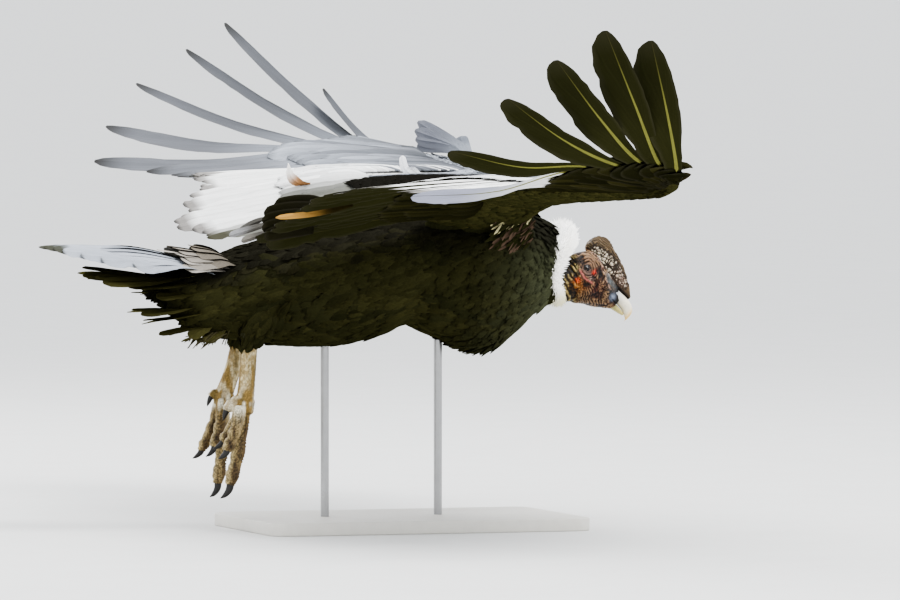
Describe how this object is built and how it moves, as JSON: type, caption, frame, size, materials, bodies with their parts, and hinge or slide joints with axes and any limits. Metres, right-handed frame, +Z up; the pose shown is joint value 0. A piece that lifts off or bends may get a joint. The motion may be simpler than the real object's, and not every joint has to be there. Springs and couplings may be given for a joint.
{
  "type": "model bird of prey",
  "caption": "Life-size still model of an adult male Andean condor in level flight, wings raised at the tips and feet let down, held on a plain display stand.",
  "frame": {"origin": "centre of the underside of the stand's flat base", "axes": "+X towards the bird's head, +Y towards its left wing tip, +Z up"},
  "size_m": [0.9554, 1.9489, 0.7836],
  "materials": {
    "plumage_dark": "dull, fine barbs",
    "plumage_silver": "silky grey feather sheen",
    "down_white": "soft matt down",
    "head_skin": "bare wrinkled skin, satin",
    "comb_skin": "warty skin, satin",
    "bill_horn": "polished horn",
    "mandible_horn": "polished horn",
    "eye_gloss": "wet gloss",
    "leg_skin": "scaled skin, dull",
    "claw_horn": "worn horn, satin",
    "stand_board": "pale satin varnish",
    "stand_steel": "satin"
  },
  "bodies": {
    "root": {"bill_lower": "mandible_horn", "bill_upper": "bill_horn", "claw_left_hind": "claw_horn", "claw_left_inner": "claw_horn", "claw_left_middle": "claw_horn", "claw_left_outer": "claw_horn", "claw_right_hind": "claw_horn", "claw_right_inner": "claw_horn", "claw_right_middle": "claw_horn", "claw_right_outer": "claw_horn", "comb": "comb_skin", "eye_left": "eye_gloss", "eye_right": "eye_gloss", "foot_left": "leg_skin", "foot_right": "leg_skin", "head": "head_skin", "neck": "head_skin", "ruff": "down_white", "stand_base": "stand_board", "stand_rod_front": "stand_steel", "stand_rod_rear": "stand_steel", "tail": "plumage_silver", "tarsus_left": "leg_skin", "tarsus_right": "leg_skin", "thigh_left": "plumage_dark", "thigh_right": "plumage_dark", "torso": "plumage_dark", "wing_left_forearm": "plumage_dark", "wing_left_hand": "plumage_dark", "wing_left_inner": "plumage_dark", "wing_right_forearm": "plumage_dark", "wing_right_hand": "plumage_dark", "wing_right_inner": "plumage_dark"}
  },
  "joints": []
}
